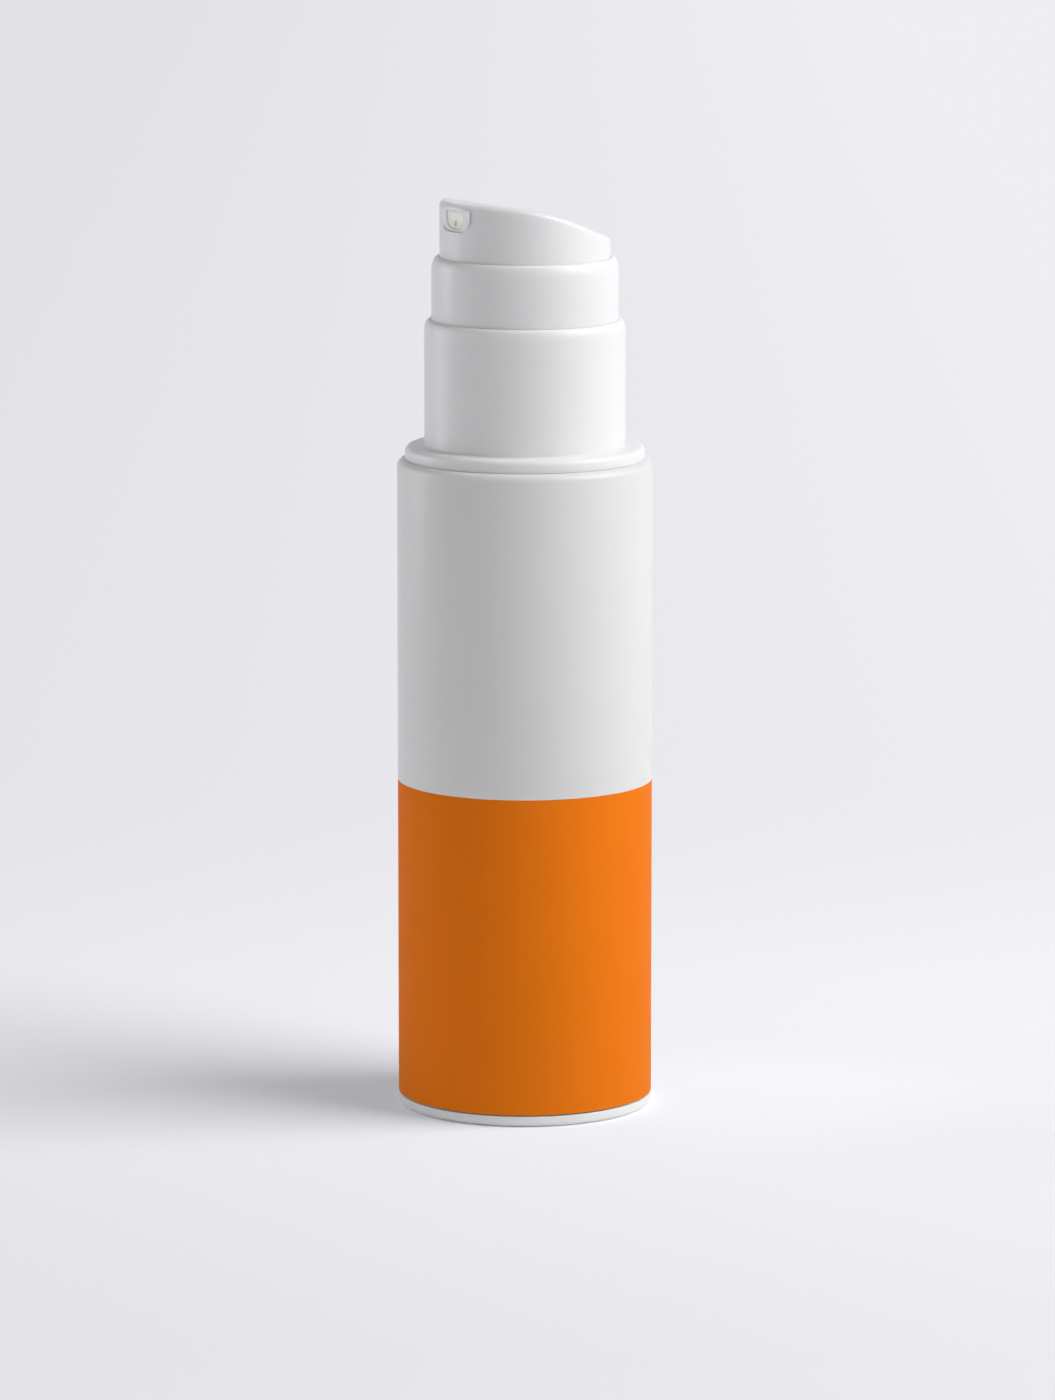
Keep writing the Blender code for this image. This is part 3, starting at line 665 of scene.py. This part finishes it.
def head_drop(y):
    """How far the head's top lies under its highest edge, at a distance y behind the axis."""
    share = min(max((head_radius + y) / (2 * head_radius), 0), 1) ** HEAD_SLOPE_POWER
    return HEAD_DROP * (3 * share**2 - 2 * share**3)


def head_shell():
    bore = head_radius - HEAD_WALL
    ceiling = head_top - HEAD_TOP_WALL
    corners = [
        (bore, head_foot, WIDE_EDGE),
        (head_radius, head_foot, WIDE_EDGE),
        (head_radius, head_top, HEAD_FILLET),
        (0, head_top, 0),
        (0, ceiling, 0),
        (bore, ceiling, 0),
    ]
    bm = turned(corners, [(head_top, CROWN_CUTS), (ceiling, CROWN_CUTS)])
    for vert in bm.verts:
        if vert.co.z > ceiling - CROWN_MARGIN:
            vert.co.z -= head_drop(vert.co.y)
    window_front = -head_radius - OVERRUN
    window = u_plate(window_half, window_foot, window_top, WINDOW_CORNER, window_front, frame_back)
    bm = cut_away(bm, window)
    piece("head_shell", bm, "head", moulded_polypropylene, "actuator_shell")


def spout_frame():
    plate = u_plate(
        window_half - SPOUT_SEAM,
        window_foot + SPOUT_SEAM,
        window_top - SPOUT_SEAM,
        WINDOW_CORNER,
        frame_face,
        frame_back,
    )
    hole = u_plate(
        tip_half + SPOUT_SEAM,
        tip_foot - SPOUT_SEAM,
        tip_top + SPOUT_SEAM,
        TIP_CORNER,
        frame_face - OVERRUN,
        frame_back + OVERRUN,
    )
    bm = cut_away(plate, hole)
    soften_rim(bm, frame_face, FRAME_RIM)
    piece("spout_frame", bm, "head", moulded_polypropylene, "nozzle_frame")


def spout_tip():
    face = low("nozzle_tip").y
    plate = u_plate(tip_half, tip_foot, tip_top, TIP_CORNER, face, tip_back)
    level = (tip_foot + tip_top) / 2 - ORIFICE_SINK
    hole = bmesh.new()
    bmesh.ops.create_cone(
        hole,
        cap_ends=True,
        segments=ORIFICE_SEGMENTS,
        radius1=ORIFICE_MOUTH,
        radius2=ORIFICE_THROAT,
        depth=tip_back - face + ORIFICE_OVERRUN,
    )
    bmesh.ops.rotate(hole, verts=hole.verts, cent=(0, 0, 0), matrix=UP_TO_BACK)
    bmesh.ops.translate(hole, verts=hole.verts, vec=(0, (face + tip_back) / 2, level))
    bm = cut_away(plate, hole)
    soften_rim(bm, face, TIP_RIM)
    piece("spout_tip", bm, "head", tip_elastomer, "nozzle_tip")


def coil_spring():
    """The return spring: a round wire wound about the stem, which the head's plate presses down."""
    rise = spring_top - spring_foot - WIRE
    radius = high("return_spring").x - WIRE / 2
    bm = bmesh.new()
    bmesh.ops.create_circle(bm, segments=WIRE_SEGMENTS, radius=WIRE / 2)
    bmesh.ops.rotate(bm, verts=bm.verts, cent=(0, 0, 0), matrix=UP_TO_BACK)
    bmesh.ops.translate(bm, verts=bm.verts, vec=(radius, 0, spring_foot + WIRE / 2))
    steps = SPRING_TURNS * COIL_STEPS
    start = list(bm.edges)
    end = bmesh.ops.spin(
        bm,
        geom=start + list(bm.verts),
        cent=(0, 0, 0),
        axis=(0, 0, 1),
        dvec=(0, 0, rise / steps),
        angle=SPRING_TURNS * math.tau,
        steps=steps,
    )["geom_last"]
    bmesh.ops.edgeloop_fill(bm, edges=start)
    bmesh.ops.edgeloop_fill(bm, edges=[item for item in end if isinstance(item, bmesh.types.BMEdge)])
    close(bm)
    made = piece("coil_spring", bm, "bottle", spring_wire, "return_spring", sharp=60)
    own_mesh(made)


body_shell()
printed_film()
foot_cap()
cap_collar()
sleeve()
head_shell()
spout_frame()
spout_tip()
coil_spring()

# The other inner pieces show the CAD's own meshes, with these materials
finishes = {
    "natural_plastic": natural_polypropylene,
    "soft_seal": seal_polyethylene,
}
slots = {row["node"]: row["material_slot"] for row in frame["record"]["subparts"]}
for name, node in frame["nodes"].items():
    if slots[name] in finishes:
        node.data.materials.clear()
        node.data.materials.append(finishes[slots[name]])


# Studio


def seen_rays(tree):
    """The Light Path node, and an output of 1 for rays from the camera or off a glossy surface."""
    path = add(tree, "ShaderNodeLightPath")
    seen = add(
        tree,
        "ShaderNodeMath",
        [(0, path.outputs["Is Camera Ray"]), (1, path.outputs["Is Glossy Ray"])],
        operation="MAXIMUM",
    )
    return path, seen.outputs[0]


# The room lights the bottle evenly. The backdrop is only what is seen, mirrored or looked through to.
world = bpy.data.worlds.new("studio")
bpy.context.scene.world = world
world.use_nodes = True
world_tree = world.node_tree
world_tree.nodes.clear()
path, seen = seen_rays(world_tree)
seen_or_through = add(
    world_tree,
    "ShaderNodeMath",
    [(0, seen), (1, path.outputs["Is Transmission Ray"])],
    operation="MAXIMUM",
)
room = add(
    world_tree, "ShaderNodeBackground", [("Color", linear(WHITE)), ("Strength", ROOM_STRENGTH)]
)
direction = add(world_tree, "ShaderNodeTexCoord").outputs["Object"]
upward = add(world_tree, "ShaderNodeSeparateXYZ", [(0, direction)])
overhead = add(
    world_tree,
    "ShaderNodeMapRange",
    [
        ("Value", upward.outputs["Z"]),
        ("From Min", BACKDROP_RISE[0]),
        ("From Max", BACKDROP_RISE[1]),
        ("To Min", BACKDROP_STRENGTH[0]),
        ("To Max", BACKDROP_STRENGTH[1]),
    ],
)
backdrop = add(
    world_tree,
    "ShaderNodeBackground",
    [("Color", linear(PALE_GREY)), ("Strength", overhead.outputs["Result"])],
)
blend = add(
    world_tree,
    "ShaderNodeMixShader",
    [(0, seen_or_through.outputs[0]), (1, room.outputs[0]), (2, backdrop.outputs[0])],
)
add(world_tree, "ShaderNodeOutputWorld", [("Surface", blend.outputs[0])])

# Matt studio paper. It shows the bottle's shadow, and gives off part of its paleness itself, towards
# the camera and glossy surfaces alone: more lamp light would bleach the bottle. How much depends on
# the place on the floor, and is matched to the photograph's angle.
# What the paper gives off itself is painted light, weaker where it stands for shade
paper, paper_tree = new_material("matt_studio_paper")
paper_tree.nodes.clear()
_, paper_seen = seen_rays(paper_tree)
paper_place = add(paper_tree, "ShaderNodeTexCoord").outputs["Object"]

# Plain pale paper far from the bottle, made a little brighter to the right with painted light
distance = add(paper_tree, "ShaderNodeVectorMath", [(0, paper_place)], operation="LENGTH")
fade = add(
    paper_tree,
    "ShaderNodeMapRange",
    [
        ("Value", distance.outputs["Value"]),
        ("From Min", PAPER_FADE[0]),
        ("From Max", PAPER_FADE[1]),
    ],
    interpolation_type="SMOOTHSTEP",
)
faded = add(
    paper_tree,
    "ShaderNodeMath",
    [(0, fade.outputs["Result"]), (1, paper_seen)],
    operation="MULTIPLY",
)
across = add(
    paper_tree,
    "ShaderNodeVectorMath",
    [(0, paper_place), (1, RIGHT)],
    operation="DOT_PRODUCT",
)
paper_light = add(
    paper_tree,
    "ShaderNodeMapRange",
    [
        ("Value", across.outputs["Value"]),
        ("From Min", PAPER_SPAN[0]),
        ("From Max", PAPER_SPAN[1]),
        ("To Min", PAPER_STRENGTH[0]),
        ("To Max", PAPER_STRENGTH[1]),
    ],
)
matt = add(paper_tree, "ShaderNodeBsdfDiffuse", [("Color", linear(PAPER_WHITE))])

# Lit paper near the bottle, with painted light that grows towards the back and a painted patch of
# thrown-back light
# Painted light: the paper gives it off itself, towards the camera and glossy surfaces
painted_light = add(paper_tree, "ShaderNodeEmission", [("Color", linear(PAPER_WHITE))])
behind = add(
    paper_tree,
    "ShaderNodeVectorMath",
    [(0, paper_place), (1, AWAY)],
    operation="DOT_PRODUCT",
)
deep_painted_light = add(
    paper_tree,
    "ShaderNodeMapRange",
    [
        ("Value", behind.outputs["Value"]),
        ("From Min", PAINTED_LIGHT_DEPTH[0]),
        ("From Max", PAINTED_LIGHT_DEPTH[1]),
        ("To Min", PAINTED_LIGHT_STRENGTH[0]),
        ("To Max", PAINTED_LIGHT_STRENGTH[1]),
    ],
)
# Painted light: a patch where the bottle's bright side would throw light back onto the paper
from_painted_bounce = add(
    paper_tree,
    "ShaderNodeVectorMath",
    [(0, paper_place), (1, tuple(PAINTED_BOUNCE_RIGHT * share for share in RIGHT))],
    operation="DISTANCE",
)
painted_bounce = add(
    paper_tree,
    "ShaderNodeMapRange",
    [
        ("Value", from_painted_bounce.outputs["Value"]),
        ("From Min", PAINTED_BOUNCE_REACH[0]),
        ("From Max", PAINTED_BOUNCE_REACH[1]),
        ("To Min", PAINTED_BOUNCE_STRENGTH[0]),
        ("To Max", PAINTED_BOUNCE_STRENGTH[1]),
    ],
    interpolation_type="SMOOTHSTEP",
)
painted_light_level = add(
    paper_tree,
    "ShaderNodeMath",
    [(0, deep_painted_light.outputs["Result"]), (1, painted_bounce.outputs["Result"])],
    operation="ADD",
)
painted_light_strength = add(
    paper_tree,
    "ShaderNodeMath",
    [(0, paper_seen), (1, painted_light_level.outputs[0])],
    operation="MULTIPLY",
)
paper_tree.links.new(painted_light_strength.outputs[0], painted_light.inputs["Strength"])
lit = add(paper_tree, "ShaderNodeAddShader", [(0, matt.outputs[0]), (1, painted_light.outputs[0])])
glow = add(
    paper_tree,
    "ShaderNodeEmission",
    [("Color", linear(PALE_GREY)), ("Strength", paper_light.outputs["Result"])],
)
paper_mix = add(
    paper_tree, "ShaderNodeMixShader", [(0, faded.outputs[0]), (1, lit.outputs[0]), (2, glow.outputs[0])]
)
add(paper_tree, "ShaderNodeOutputMaterial", [("Surface", paper_mix.outputs[0])])

floor_bm = bmesh.new()
bmesh.ops.create_circle(floor_bm, cap_ends=True, segments=FLOOR_SEGMENTS, radius=FLOOR_RADIUS)
floor_mesh = mesh_of("studio_floor", floor_bm)
floor_mesh.materials.append(paper)
floor = placed("studio_floor", floor_mesh)
floor.location.z = -FLOOR_DROP


def towards(turn, tilt):
    """The direction from the bottle to what stands turned to the right of its front and tilted up."""
    return Vector(
        (math.sin(turn) * math.cos(tilt), -math.cos(turn) * math.cos(tilt), math.sin(tilt))
    )


def set_up(name, data, target, way, distance):
    """Puts a camera or a lamp at a distance from the target that it faces."""
    made = placed(name, data)
    made.location = target + way * distance
    made.rotation_mode = "QUATERNION"
    made.rotation_quaternion = (-way).to_track_quat("-Z", "Y")
    return made


lens = bpy.data.cameras.new("camera")
lens.lens = LENS
lens.sensor_width = SENSOR_WIDTH
aim = Vector((0, 0, AIM_HEIGHT)) + Vector(RIGHT) * AIM_RIGHT
sight = towards(CAMERA_TURN, CAMERA_TILT)
bpy.context.scene.camera = set_up("camera", lens, aim, sight, CAMERA_DISTANCE)


def softbox(name, turn, tilt, width, height, power, colour):
    """A softbox, turned from the camera's direction to its right and tilted up, in degrees."""
    lamp = bpy.data.lights.new(name, "AREA")
    lamp.shape = "RECTANGLE"
    lamp.size = width
    lamp.size_y = height
    lamp.energy = power
    lamp.color = linear(colour)[:3]
    way = towards(CAMERA_TURN + math.radians(turn), math.radians(tilt))
    set_up(name, lamp, Vector((0, 0, LAMP_AIM_HEIGHT)), way, LAMP_DISTANCE)


softbox("key_softbox", 75, 38, 1.2, 1.0, 17.2, WHITE)
softbox("high_softbox", 80, 68, 0.6, 0.6, 2.7, WHITE)
softbox("left_softbox", -78, 5, 0.6, 1.0, 1.2, WHITE)
softbox("rim_softbox", -110, 5, 0.6, 1.0, 5.4, "#F8F9FF")

bpy.context.scene.view_settings.view_transform = "Standard"
